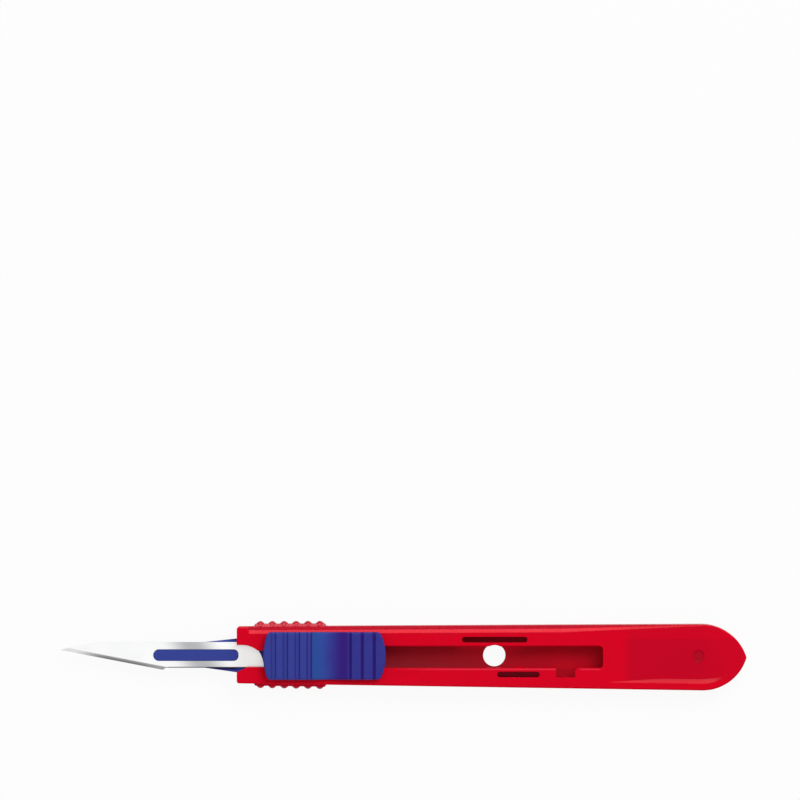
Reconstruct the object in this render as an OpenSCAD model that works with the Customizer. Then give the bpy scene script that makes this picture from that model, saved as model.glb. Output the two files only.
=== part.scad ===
// Retractable disposable scalpel: a moulded handle, a thumb slider that runs in
// it, and the blade that the slider carries. Drawn with the blade out.
// X runs from the blade to the tail, Y across, Z up from the face it lies on.

/* [Handle] */
// Length of the handle, nose to tail point
handle_l = 101.9; // [97:0.1:115]
// Thickness of the handle
handle_t = 6; // [5.6:0.1:8]
// Upper side at the nose, from the track's centre line
nose_up = 5.98; // [5.5:0.02:7]
// Lower side at the nose, from the track's centre line
nose_low = 5.26; // [5.1:0.02:7]
// Upper side at the tail, from the track's centre line
tail_up = 6.46; // [5.6:0.02:7.5]
// Lower side at the tail, from the track's centre line
tail_low = 6.68; // [5.6:0.02:7.5]
// Radius of the two arcs that meet in the tail point
tail_r = 9.15; // [8:0.05:13]
// Thickness of the floor under the channel
floor_t = 1.3; // [1:0.05:1.6]
// Thickness of the top wall over the channel
lid_t = 1.3; // [1:0.05:1.6]
// Width of the channel that the slider runs in
channel_w = 8.2; // [7.9:0.05:8.8]
// Chamfer at the nose's two corners
nose_chamfer = 0.3; // [0.1:0.05:0.6]
// Chamfer round the underside
under_chamfer = 0.5; // [0.2:0.05:0.8]
// Chamfer round the top
top_chamfer = 0.25; // [0.15:0.05:0.6]

/* [Upper edge facets] */
// Width of the bright facet beside the top face
facet_w = 0.7; // [0.3:0.05:1]
// Drop of the bright facet
facet_drop = 0.45; // [0.2:0.05:0.8]
// Width of the steep facet beside the side face
side_facet_w = 0.65; // [0.3:0.05:1]
// Drop of the steep facet
side_facet_drop = 1.3; // [0.6:0.05:1.5]
// Start of the facets behind the nose
facet_start = 2; // [1:0.1:5]
// Length over which the facets run out before the tail
facet_fade = 28; // [15:1:35]

/* [Side grips] */
// Nubs in each row
grip_count = 6; // [3:1:8]
// Distance from nub to nub
grip_pitch = 2.38; // [2:0.02:3]
// First nub behind the nose
grip_start = 4.66; // [3:0.02:8]
// How far a nub stands out of the side
grip_h = 1.03; // [0.7:0.01:1.2]
// Radius of a nub's foot
grip_r = 1.9; // [1.5:0.05:2]
// Depth of that foot below the side
grip_sink = 0.15; // [0.1:0.01:0.3]
// Height of the bar that joins the nubs of a row
grip_bar_h = 0.5; // [0.2:0.05:0.6]
// Width of that bar
grip_bar_w = 2.6; // [1.6:0.1:3]
// Reach of that bar past the row's end nubs
grip_bar_reach = 1.3; // [0.8:0.05:1.6]

/* [Track] */
// Width of the slot in the top wall
slot_w = 4.3; // [4.1:0.05:4.6]
// Rear end of the slot behind the nose
slot_end = 73.2; // [68:0.1:78]
// Corner radius at the slot's rear end
slot_r = 0.6; // [0.2:0.05:1]
// Chamfer along the slot's lips
lip_chamfer = 0.2; // [0.1:0.05:0.4]
// Upper lip of the nose mouth, from the centre line
mouth_up = 2.42; // [2:0.02:2.8]
// Lower lip of the nose mouth, from the centre line
mouth_low = 3.06; // [2.4:0.02:3.4]
// Start of the mouth's curved upper lip
mouth_up_start = 1; // [0.5:0.1:1.5]
// Rear end of the mouth's curved upper lip
mouth_up_end = 4.2; // [3.2:0.1:4.6]
// Rear end of the mouth's lower ramp
mouth_low_end = 2.2; // [1.5:0.1:3]
// Lower lip of the throat, from the centre line
throat_low = 1.98; // [1.8:0.02:2.05]
// Rear end of the throat, where the slider stops
throat_end = 6.4; // [6:0.1:7]
// Length of the lock notch in the lower lip
notch_l = 3.8; // [3:0.1:5]
// Depth of the lock notch
notch_d = 1.9; // [1.2:0.1:2]
// Chamfer at the lock notch's rear corner
notch_chamfer = 0.5; // [0.2:0.1:0.8]
// Height of the detent nub on the lower lip
nub_h = 0.28; // [0.1:0.02:0.35]
// Length of the detent nub's front ramp
nub_ramp = 1.56; // [0.8:0.02:2]
// Length of the detent nub's top
nub_top = 0.4; // [0.2:0.05:0.8]
// Length of the detent nub's rear ramp
nub_back = 0.65; // [0.4:0.05:1.2]
// Detent nub's top behind the middle of the lower flex slit
nub_shift = 0.7; // [0:0.1:1.5]
// Length of the upper flex slit
up_slit_l = 13.1; // [8:0.1:16]
// Length of the lower flex slit
low_slit_l = 8.5; // [5:0.1:12]
// Width of the flex slits
slit_w = 1.15; // [0.8:0.05:1.3]
// Width of the springy strips beside the slits
strip_w = 0.75; // [0.6:0.05:1]
// Middle of the lower flex slit behind the nose
low_slit_x = 56.3; // [50:0.1:58]

/* [Through hole] */
// Diameter of the through hole
hole_d = 4.5; // [3:0.1:5]
// Through hole behind the nose
hole_x = 51.55; // [45:0.05:54]
// Through hole above the track's centre line
hole_y = 0.15; // [-0.3:0.05:0.3]

/* [Rear scoop] */
// Full depth of the scoop
scoop_d = 0.55; // [0.3:0.05:0.8]
// Distance from the slot's end to the scoop
scoop_gap = 0.4; // [0:0.1:3]
// Length over which the scoop sinks to its full depth
scoop_sink = 11; // [6:0.5:14]
// Length over which it rises again at its rear end
scoop_rise = 3.5; // [2:0.1:6]
// Rear end of the scoop ahead of the tail point
scoop_tail = 3.2; // [3.1:0.1:4.5]
// Width of the rim below the scoop
scoop_low_rim = 1.35; // [1.2:0.05:2]
// Width of the scoop's lower sloping border at its full depth
scoop_low_slope = 0.85; // [0.4:0.05:1]
// Width of the rim above the scoop
scoop_up_rim = 2.45; // [2.3:0.05:3]
// Diameter of the ejector mark
mark_d = 2.4; // [1:0.1:3]
// Depth of the ejector mark
mark_depth = 0.2; // [0.1:0.05:0.3]
// Ejector mark ahead of the tail point
mark_back = 9.6; // [8.5:0.1:12]

/* [Slider] */
// Length of the thumb pad
pad_l = 24.4; // [23.8:0.1:26]
// Width of the thumb pad
pad_w = 9.5; // [8.5:0.1:10.5]
// Height of the pad's front end
pad_front_t = 2.3; // [1.8:0.05:2.8]
// Height of the pad's rear end
pad_rear_t = 1.4; // [1.2:0.05:2]
// Lead of the pad ahead of the stem
pad_lead = 1.15; // [0.5:0.05:1.6]
// Shift of the pad above the middle of the handle's nose
pad_shift = -0.07; // [-0.3:0.01:0.3]
// Radius of the bulged front end in plan
pad_front_r = 13.8; // [9:0.1:20]
// Radius of the bulged rear end in plan
pad_rear_r = 10; // [9:0.1:20]
// Corner radius in plan
pad_corner_r = 1; // [0.5:0.05:1.5]
// Chamfer round the pad's top
pad_chamfer = 0.35; // [0.15:0.05:0.5]
// Radius of the thumb dish
dish_r = 8; // [7:0.1:12]
// Length of the thumb dish
dish_l = 7; // [5.5:0.1:7.5]
// Middle of the thumb dish from the pad's front end
dish_x = 13.3; // [12.8:0.1:13.8]
// Distance from rib to rib
rib_pitch = 2.38; // [2.1:0.02:2.5]
// Grooves ahead of the dish
front_grooves = 4; // [2:1:4]
// Grooves behind the dish
rear_grooves = 3; // [1:1:3]
// Width of the front grooves
front_groove_w = 0.85; // [0.5:0.05:1.1]
// Width of the rear grooves
rear_groove_w = 0.5; // [0.3:0.05:0.8]
// Depth of the grooves
groove_d = 0.3; // [0.15:0.05:0.4]
// Share of a groove's width that its floor takes
groove_floor = 0.7; // [0.5:0.05:0.9]
// From the last front groove to the dish
front_land = 0.68; // [0.5:0.02:1]
// From the dish to the first rear groove
rear_land = 0.5; // [0.4:0.02:1]
// Width of the stem in the slot
stem_w = 3; // [2.8:0.05:3.2]
// Length of the stem in the slot
stem_l = 22.6; // [21:0.1:23]
// Lap of the stem on the throat's upper lip
stop_lap = 0.2; // [0.1:0.05:0.4]
// Thickness of the latch arm beside the stem
arm_t = 0.7; // [0.5:0.05:0.9]
// Gap behind the latch arm
arm_gap = 0.4; // [0.3:0.05:0.6]
// Length of the latch arm
arm_l = 11; // [8:0.1:14]
// Front of the latch tooth ahead of the stem's rear end
tooth_back = 8.9; // [5:0.1:10]
// Play of the latch tooth in its notch
tooth_play = 0.3; // [0.1:0.05:0.6]
// Length of the tongue ahead of the nose
tongue_l = 17.4; // [17.2:0.1:17.8]
// Margin of the blade over the tongue at each side
tongue_margin = 0.15; // [0.05:0.05:0.5]
// Drop of the tongue below the middle of the blade's shank
tongue_drop = 0.26; // [0:0.02:0.3]
// Start of the tongue's lower flare ahead of the nose
low_flare_start = 6.5; // [4:0.1:8]
// End of the tongue's lower flare behind the nose
low_flare_end = 5; // [1:0.1:5.2]
// Start of the tongue's upper flare ahead of the nose
up_flare_start = 9.4; // [4:0.1:10]
// End of the tongue's upper flare behind the nose
up_flare_end = 2.5; // [1:0.1:5]
// Length of the tongue's tapered underside
taper_l = 6; // [3:0.1:10]
// Thickness of the tongue at its front end
tongue_tip_t = 0.9; // [0.5:0.05:1.4]

/* [Blade] */
// Thickness of the blade
blade_t = 0.4; // [0.3:0.02:0.5]
// Width of the blade's shank
blade_w = 5.04; // [4.6:0.02:5.4]
// Middle of the shank above the track's centre line
blade_y = 0.42; // [0.2:0.02:0.6]
// Reach of the blade's point ahead of the nose
blade_reach = 35.34; // [32:0.02:39]
// Drop of the point below the spine
tip_drop = 1.6; // [1:0.05:2.2]
// Length over which the spine curves down to the point
clip_l = 11; // [6:0.1:14]
// Heel of the cutting edge ahead of the nose
heel_x = 14.8; // [14:0.1:16]
// Drop of the heel below the shank
heel_drop = 0.52; // [0.3:0.02:0.8]
// Relief between the heel and the shank
heel_relief = 0.7; // [0.4:0.05:1]
// Width of the ground bevel
grind_w = 0.7; // [0.5:0.05:1.3]
// Thickness left at the cutting edge
edge_t = 0.04; // [0.02:0.01:0.08]
// Length of the slot in the blade
blade_slot_l = 17.08; // [15.5:0.02:17.2]
// Width of the slot in the blade
blade_slot_w = 2.34; // [2:0.02:2.7]
// Drop of the slot below the middle of the shank
blade_slot_drop = 0.09; // [0:0.01:0.2]
// Rear end of the blade's slot behind the nose
blade_slot_x = 0.32; // [0:0.02:0.6]
// Corner radius at the blade slot's rear end
blade_slot_r = 1; // [0.5:0.02:1]
// Radius of the tang's rounded end
tang_r = 6.2; // [6:0.05:7.5]
// Centre of the tang's rounded end below the shank
tang_drop = 0.2; // [0:0.05:0.8]
// Rear corner of the tang behind the nose
tang_x = 5.4; // [5:0.02:5.6]

/* [Fits] */
// Gap above and below the slider in the channel
guide_gap = 0.25; // [0.15:0.05:0.35]
// Gap at each side of the slider in the channel
side_gap = 0.25; // [0.15:0.05:0.4]
// Gap under the thumb pad
pad_gap = 0.15; // [0.1:0.05:0.3]
// Play of the stem at each end of its travel
end_play = 0.15; // [0.05:0.05:0.3]
// Gap round the boss in the blade's slot
boss_gap = 0.05; // [0.03:0.01:0.1]
// Gap behind the tang and beside the latch tooth
seat_gap = 0.12; // [0.05:0.01:0.15]

/* [Hidden] */
$fn = 64;
over = 1;
full_round = 0.499;
nub_steps = 6;
scoop_steps = 24;
scoop_lift = 0.02;
handle_red = "#d2001f";
slider_blue = "#2b3a8c";
steel = "#d9dbdc";

// Heights of the channel and of what runs in it
channel_top = handle_t - lid_t;
slider_bottom = floor_t + guide_gap;
deck_z = channel_top - guide_gap;
seat_z = deck_z - blade_t;
pad_z = handle_t + pad_gap;

// The tail's two arcs are tangent to the sides and meet in the point
tail_half = tail_r - (tail_up + tail_low) / 2;
tail_x = handle_l - sqrt(tail_r * tail_r - tail_half * tail_half);
up_angle = atan((tail_up - nose_up) / tail_x);
low_angle = atan((tail_low - nose_low) / tail_x);
function upper_y(x) = nose_up + x * tan(up_angle);
function lower_y(x) = -nose_low - x * tan(low_angle);

// The nubs are centred on the flat part of the sides
grip_z = (under_chamfer + handle_t - facet_drop - side_facet_drop) / 2;

// The rear scoop starts behind the slot and ends before the tail point
scoop_start = slot_end + scoop_gap;
scoop_rear = handle_l - scoop_tail;
scoop_ratio = scoop_low_slope / scoop_d;
mark_x = handle_l - mark_back;

// The stem stops on the throat in front and on the slot's end behind
stem_front = throat_end + end_play;
stem_rear = stem_front + stem_l;
travel = slot_end - end_play - stem_rear;
deck_rear = stem_rear + end_play;
channel_end = deck_rear + travel + guide_gap;
throat_up = stem_w / 2 - stop_lap;
slider_w = channel_w - 2 * side_gap;

// The mouth's upper lip curves down to the throat
mouth_fall = mouth_up - throat_up;
mouth_r = (pow(mouth_up_end - mouth_up_start, 2) + mouth_fall * mouth_fall) / (2 * mouth_fall);

// The pad covers the stem, and its grooves are counted from the dish
pad_y = (nose_up - nose_low) / 2 + pad_shift;
pad_front = stem_front - pad_lead;
first_front_groove = dish_x - dish_l / 2 - front_land - rib_pitch * (front_grooves - 1);
first_rear_groove = dish_x + dish_l / 2 + rear_land;

// The latch tooth stands before the notch when the blade is drawn in
tooth_l = notch_l - 2 * tooth_play;
tooth_x = stem_rear - tooth_back;
tooth_tip = slot_w / 2 - nub_h - seat_gap;
notch_x = tooth_x + travel + tooth_l / 2;

// Blade corners
spine_y = blade_y + blade_w / 2;
shank_y = blade_y - blade_w / 2;
heel = [-heel_x, shank_y - heel_drop];
tip = [-blade_reach, spine_y - tip_drop];
edge_angle = atan2(heel[1] - tip[1], heel[0] - tip[0]);
clip_r = (clip_l * clip_l + tip_drop * tip_drop) / (2 * tip_drop);
tang_centre = [tang_x - sqrt(tang_r * tang_r - tang_drop * tang_drop), shank_y - tang_drop];
blade_slot_y = blade_y - blade_slot_drop;

// Middle of the whole part in X and Y, which is set over the origin
mid_x = (handle_l - blade_reach) / 2;
mid_y = (upper_y(grip_start + grip_pitch * (grip_count - 1)) + grip_h - tail_low) / 2;

// Points of an arc from angle a to angle b, without the first one if skip is 1
function arc(centre, r, a, b, steps = 20, skip = 0) =
    [for (i = [skip:steps]) centre + r * [cos(a + (b - a) * i / steps), sin(a + (b - a) * i / steps)]];

// Solid between rings of as many points each, the lowest first, each ring
// anticlockwise from above
module loft(rings) {
    n = len(rings[0]);
    top = (len(rings) - 1) * n;
    polyhedron(
        points = [for (ring = rings) each ring],
        faces = concat(
            [[for (i = [0:n - 1]) i]],
            [[for (i = [0:n - 1]) top + (n - i) % n]],
            [for (j = [0:n:top - n], i = [0:n - 1]) [j + i, j + n + i, j + n + (i + 1) % n]],
            [for (j = [0:n:top - n], i = [0:n - 1]) [j + i, j + n + (i + 1) % n, j + (i + 1) % n]]
        )
    );
}

// A rectangle from the origin along X, centred on Y, with round corners
module round_rect(l, w, r) {
    translate([r, -w / 2]) square([l - 2 * r, w]);
    translate([0, r - w / 2]) square([l, w - 2 * r]);
    for (x = [r, l - r], y = [r - w / 2, w / 2 - r]) translate([x, y]) circle(r);
}

// A section in Y and Z, carried along X
module along_x(l) {
    rotate([90, 0, 90]) linear_extrude(l) children();
}

// A section in X and Z, carried along Y on both sides of the centre line
module along_y(w) {
    rotate([90, 0, 0]) linear_extrude(w, center = true) children();
}

// A square bar on its edge, which cuts a chamfer along X
module chamfer_bar(l, c) {
    rotate([45, 0, 0]) translate([0, -c / sqrt(2), -c / sqrt(2)]) cube([l, c * sqrt(2), c * sqrt(2)]);
}

// The tail's two arcs, drawn in by an inset, from the lower side to the upper
function tail_points(inset) =
    let (
        r = tail_r - inset,
        low_centre = tail_r - tail_low,
        up_centre = tail_up - tail_r,
        y = (low_centre + up_centre) / 2
    )
    concat(
        arc([tail_x, low_centre], r, -90, asin((y - low_centre) / r)),
        arc([tail_x, up_centre], r, asin((y - up_centre) / r), 90, skip = 1)
    );

// Inset and height of each level of the edge, underside first: the plain edge,
// and the upper edge with its two facets
plain_edge = [
    [under_chamfer, 0],
    [0, under_chamfer],
    [0, handle_t - top_chamfer],
    [top_chamfer / 2, handle_t - top_chamfer / 2],
    [top_chamfer, handle_t]
];
facet_edge = [
    [under_chamfer, 0],
    [0, under_chamfer],
    [0, handle_t - facet_drop - side_facet_drop],
    [side_facet_w, handle_t - facet_drop],
    [side_facet_w + facet_w, handle_t]
];

// Places along the upper edge: distance behind the nose, nose inset, and 1
// where the facets are full
upper_stations = [
    [tail_x - facet_fade, 0, 1],
    [facet_start + facet_drop, 0, 1],
    [facet_start, 0, 0],
    [nose_chamfer, 0, 0],
    [0, nose_chamfer, 0]
];

// Outline of the handle at one level
function body_ring(level) =
    let (plain = plain_edge[level], full = facet_edge[level])
    concat(
        [for (s = [[0, nose_chamfer], [nose_chamfer, 0]]) [s[0], lower_y(s[0]) + plain[0] + s[1], plain[1]]],
        [for (p = tail_points(plain[0])) [p[0], p[1], plain[1]]],
        [for (s = upper_stations)
            let (edge = plain + s[2] * (full - plain))
            [s[0], upper_y(s[0]) - edge[0] - s[1], edge[1]]]
    );

// Rows of nubs on both sides, for the finger and thumb, each row on a bar
module side_grips() {
    for (i = [0:grip_count - 1]) {
        x = grip_start + i * grip_pitch;
        translate([x, upper_y(x), grip_z]) rotate([-90, 0, 0]) nub();
        translate([x, lower_y(x), grip_z]) rotate([90, 0, 0]) nub();
    }
    translate([0, 0, grip_z - grip_bar_w / 2]) linear_extrude(grip_bar_w) {
        polygon(grip_bar(upper_y(0), tan(up_angle), 1));
        polygon(grip_bar(lower_y(0), -tan(low_angle), -1));
    }
}

// Outline of the bar along a side that passes y at the nose and rises by a slope
function grip_bar(y, slope, out) =
    let (
        front = grip_start - grip_bar_reach,
        rear = grip_start + grip_pitch * (grip_count - 1) + grip_bar_reach
    )
    [for (p = [
        [front, -over],
        [front, 0],
        [front + grip_bar_h / 2, grip_bar_h],
        [rear - grip_bar_h / 2, grip_bar_h],
        [rear, 0],
        [rear, -over]
    ]) [p[0], y + slope * p[0] + out * p[1]]];

// One nub that stands on the origin and rises like a wave
module nub() {
    rise = grip_h + grip_sink;
    rotate_extrude($fn = 48) polygon(concat(
        [[0, -over], [grip_r, -over]],
        [for (i = [0:nub_steps])
            [grip_r * (1 - i / nub_steps), rise * (1 - cos(180 * i / nub_steps)) / 2 - grip_sink]]
    ));
}

// Nose mouth: it leads the stem in and narrows to the throat that keeps it in
module nose_mouth() {
    start = asin(1 - mouth_fall / mouth_r);
    polygon(concat(
        [
            [-over, -mouth_low],
            [0, -mouth_low],
            [mouth_low_end, -throat_low],
            [throat_end + over, -throat_low],
            [throat_end + over, throat_up]
        ],
        arc([mouth_up_start, mouth_up - mouth_r], mouth_r, start, 90, 6),
        [[-over, mouth_up]]
    ));
}

// Notch that the latch tooth springs into when the blade is drawn in
module lock_notch() {
    bottom = -slot_w / 2 - notch_d;
    left = notch_x - notch_l / 2;
    right = notch_x + notch_l / 2;
    polygon([
        [left, 0],
        [left, bottom],
        [right, bottom],
        [right, -slot_w / 2 - notch_chamfer],
        [right + notch_chamfer, -slot_w / 2],
        [right + notch_chamfer, 0]
    ]);
}

// Nub on the lower lip that the latch tooth has to pass
module detent_nub() {
    lip = -slot_w / 2;
    x = low_slit_x + nub_shift;
    polygon([
        [x - nub_top / 2 - nub_ramp, lip],
        [x - nub_top / 2, lip + nub_h],
        [x + nub_top / 2, lip + nub_h],
        [x + nub_top / 2 + nub_back, lip],
        [x, lip - over / 2]
    ]);
}

// Slit with round ends that leaves a springy strip beside the slot
module flex_slit(x, l, side) {
    y = side * (slot_w / 2 + strip_w + slit_w / 2);
    translate([x - l / 2, y]) round_rect(l, slit_w, slit_w * full_round);
}

// Plan of all the openings in the top wall
module track_plan() {
    nose_mouth();
    translate([hole_x, hole_y]) circle(d = hole_d);
    difference() {
        union() {
            translate([throat_end, -slot_w / 2]) square([slot_end - throat_end - slot_r, slot_w]);
            translate([slot_end - 4 * slot_r, 0]) round_rect(4 * slot_r, slot_w, slot_r);
            lock_notch();
        }
        detent_nub();
    }
    flex_slit(hole_x, up_slit_l, 1);
    flex_slit(low_slit_x, low_slit_l, -1);
}

// Chamfers along the slot's two lips
module lip_chamfers() {
    for (y = [-slot_w / 2, slot_w / 2])
        translate([throat_end, y, handle_t]) chamfer_bar(slot_end - slot_r - throat_end, lip_chamfer);
}

// Shallow scoop in the solid rear part: its floor leaves the top at the upper
// border and falls across to the lower one, where a slope leads up to the rim
module rear_scoop() {
    l = scoop_rear - scoop_start;
    loft([for (i = [0:scoop_steps]) scoop_section(scoop_start + l * i / scoop_steps)]);
}

// Section of the scoop at a distance behind the nose; its ends stay above the top
function scoop_section(x) =
    let (low = scoop_low_y(x), up = scoop_up_y(x), d = scoop_depth(x))
    [
        [x, low + scoop_ratio * d, handle_t - d],
        [x, up, handle_t + scoop_lift],
        [x, up, handle_t + over],
        [x, low - scoop_ratio * over, handle_t + over]
    ];

// Depth along the scoop's lower border, which sinks and rises again along X
function scoop_depth(x) =
    let (share = min(1, (x - scoop_start) / scoop_sink, (scoop_rear - x) / scoop_rise))
    (scoop_d + scoop_lift) * share - scoop_lift;

// The scoop's two borders: the lower one follows the tail, the upper one runs straight
function scoop_low_y(x) =
    x < tail_x ? lower_y(x) + scoop_low_rim
    : tail_r - tail_low - sqrt(pow(tail_r - scoop_low_rim, 2) - pow(x - tail_x, 2));
function scoop_up_y(x) = upper_y(min(x, tail_x)) - scoop_up_rim;

// Height of the scoop's floor at a place
function scoop_floor(x, y) =
    let (d = scoop_depth(x), up = scoop_up_y(x), low = scoop_low_y(x) + scoop_ratio * d)
    handle_t + scoop_lift - (d + scoop_lift) * (up - y) / (up - low);

module handle() {
    color(handle_red) translate([-mid_x, -mid_y]) difference() {
        union() {
            loft([for (level = [0:4]) body_ring(level)]);
            side_grips();
        }
        translate([-over, -channel_w / 2, floor_t])
            cube([channel_end + over, channel_w, handle_t - lid_t - floor_t]);
        translate([0, 0, channel_top - over / 2]) linear_extrude(lid_t + over) track_plan();
        lip_chamfers();
        translate([hole_x, hole_y, -over]) cylinder(h = floor_t + 2 * over, d = hole_d);
        rear_scoop();
        translate([mark_x, hole_y, scoop_floor(mark_x, hole_y) - mark_depth])
            cylinder(h = over, d1 = mark_d - 2 * mark_depth, d2 = mark_d - 2 * mark_depth + 2 * over);
    }
}

// Bulged end of the pad with its round corners, the bulge's top at the origin
function pad_end(r) =
    let (a = asin((pad_w / 2 - pad_corner_r) / (r - pad_corner_r)), corner = (r - pad_corner_r) * cos(a) - r)
    concat(
        arc([corner, pad_corner_r - pad_w / 2], pad_corner_r, -90, -a, 6),
        arc([-r, 0], r, -a, a, 12, skip = 1),
        arc([corner, pad_w / 2 - pad_corner_r], pad_corner_r, a, 90, 6, skip = 1)
    );

// Plan of the pad: parallel sides and gently bulged ends
module pad_plan() {
    translate([pad_front, pad_y]) polygon(concat(
        [for (p = pad_end(pad_rear_r)) [pad_l + p[0], p[1]]],
        [for (p = pad_end(pad_front_r)) -p]
    ));
}

// Height of the pad's plain top at a distance from its front end
function pad_top(u) = pad_front_t + (pad_rear_t - pad_front_t) * u / pad_l;

// Side view of the pad: a sloping top with a thumb dish between two ribbed ends
module pad_profile() {
    difference() {
        polygon([
            [0, 0],
            [pad_l, 0],
            [pad_l, pad_rear_t - pad_chamfer],
            [pad_l - pad_chamfer, pad_top(pad_l)],
            [pad_chamfer, pad_top(0)],
            [0, pad_front_t - pad_chamfer]
        ]);
        translate([dish_x, pad_top(dish_x) + sqrt(dish_r * dish_r - dish_l * dish_l / 4)])
            circle(dish_r, $fn = 128);
        for (i = [0:front_grooves - 1]) groove(first_front_groove + i * rib_pitch, front_groove_w);
        for (i = [0:rear_grooves - 1]) groove(first_rear_groove + i * rib_pitch, rear_groove_w);
    }
}

// One groove between two ribs, a little wider at its top
module groove(u, w) {
    top = pad_top(u);
    polygon([
        [u - w * groove_floor / 2, top - groove_d],
        [u + w * groove_floor / 2, top - groove_d],
        [u + w / 2, top + over / 4],
        [u - w / 2, top + over / 4]
    ]);
}

// End view of the pad, with chamfered long edges
module pad_section() {
    side = pad_w / 2;
    polygon([
        [-side, 0],
        [side, 0],
        [side, pad_rear_t - pad_chamfer],
        [side - pad_chamfer, pad_front_t],
        [pad_chamfer - side, pad_front_t],
        [-side, pad_rear_t - pad_chamfer]
    ]);
}

module thumb_pad() {
    intersection() {
        translate([0, 0, pad_z]) linear_extrude(pad_front_t) pad_plan();
        translate([pad_front, pad_y, pad_z]) along_y(pad_w + over) pad_profile();
        translate([pad_front, pad_y, pad_z]) along_x(pad_l) pad_section();
    }
}

// Plan of the stem, with the springy latch arm and its tooth on the lower side
module stem_plan() {
    side = -stem_w / 2;
    difference() {
        union() {
            translate([stem_front, side]) square([stem_l, stem_w]);
            polygon([
                [tooth_x - (tooth_tip + side), side + arm_t / 2],
                [tooth_x, -tooth_tip],
                [tooth_x + tooth_l, -tooth_tip],
                [tooth_x + tooth_l, side + arm_t / 2]
            ]);
        }
        translate([tooth_x + tooth_l - arm_l, side + arm_t]) square([arm_l + arm_gap, arm_gap]);
        translate([tooth_x + tooth_l, side - over]) square([arm_gap, over + arm_t + arm_gap]);
    }
}

// Plan of the carrier: a round-nosed tongue under the blade, flaring to the
// channel's width
module carrier_plan() {
    r = blade_w / 2 - tongue_margin;
    y = blade_y - tongue_drop;
    translate([r - tongue_l, y]) circle(r);
    translate([r - tongue_l, y - r]) square([tongue_l - low_flare_start - r + over, 2 * r]);
    polygon([
        [-low_flare_start, y - r],
        [low_flare_end, -slider_w / 2],
        [deck_rear, -slider_w / 2],
        [deck_rear, slider_w / 2],
        [up_flare_end, slider_w / 2],
        [-up_flare_start, y + r]
    ]);
}

// Side view of the carrier up to the blade's seat, thinned towards its front
module carrier_profile() {
    polygon([
        [-tongue_l, seat_z],
        [-tongue_l, seat_z - tongue_tip_t],
        [taper_l - tongue_l, slider_bottom],
        [deck_rear, slider_bottom],
        [deck_rear, seat_z]
    ]);
}

// Deck behind the blade, as high as the blade's top and curved to its tang
module deck_plan() {
    intersection() {
        carrier_plan();
        difference() {
            translate([tang_centre[0] + tang_r / 2, -slider_w / 2]) square([deck_rear, slider_w]);
            translate(tang_centre) circle(tang_r + seat_gap);
        }
    }
}

// Plan of the slot in the blade, drawn in by a gap for the boss that fills it
module blade_slot_plan(gap = 0) {
    w = blade_slot_w - 2 * gap;
    front = blade_slot_x - blade_slot_l + gap;
    translate([front, blade_slot_y]) {
        round_rect(w + over, w, w * full_round);
        translate([w / 2, 0]) round_rect(blade_slot_l - 2 * gap - w / 2, w, blade_slot_r - gap);
    }
}

module slider() {
    color(slider_blue) translate([-mid_x, -mid_y]) {
        intersection() {
            linear_extrude(seat_z) carrier_plan();
            along_y(2 * slider_w) carrier_profile();
        }
        translate([0, 0, seat_z - blade_t]) linear_extrude(2 * blade_t) {
            deck_plan();
            blade_slot_plan(boss_gap);
        }
        translate([0, 0, deck_z - blade_t / 2]) linear_extrude(pad_z - deck_z + blade_t) stem_plan();
        thumb_pad();
    }
}

// Outline of the blade: point, clipped spine, rounded tang, shank and heel
module blade_plan() {
    clip_centre = [tip[0] + clip_l, spine_y - clip_r];
    tang_top = asin((spine_y - tang_centre[1]) / tang_r);
    polygon(concat(
        arc(clip_centre, clip_r, 90 + asin(clip_l / clip_r), 90),
        arc(tang_centre, tang_r, tang_top, asin(tang_drop / tang_r)),
        [[-heel_x + heel_relief, shank_y], heel]
    ));
}

// Wedge that grinds one face along the cutting edge, in the edge's own section
module grind_wedge() {
    reach = over / 2;
    fall = (blade_t - edge_t) / 2;
    translate([tip[0], tip[1]]) rotate(edge_angle) translate([-over, 0])
        along_x(norm(heel - tip) + 2 * over) polygon([
            [grind_w, blade_t / 2],
            [grind_w, blade_t / 2 + over],
            [-reach, blade_t / 2 + over],
            [-reach, blade_t / 2 - fall * (grind_w + reach) / grind_w]
        ]);
}

module blade() {
    color(steel) translate([-mid_x, -mid_y, seat_z + blade_t / 2]) difference() {
        linear_extrude(blade_t, center = true) difference() {
            blade_plan();
            blade_slot_plan();
        }
        grind_wedge();
        mirror([0, 0, 1]) grind_wedge();
    }
}

handle();
slider();
blade();
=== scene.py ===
"""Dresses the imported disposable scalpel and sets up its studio.

Lengths in the dataclasses are millimetres in the drawing's own frame: X behind
the handle's nose, Y from the track's centre line, Z from the underside. Layout
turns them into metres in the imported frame.
"""
import logging
import math
from dataclasses import dataclass, field
from enum import Enum
from typing import Any, Callable

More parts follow.
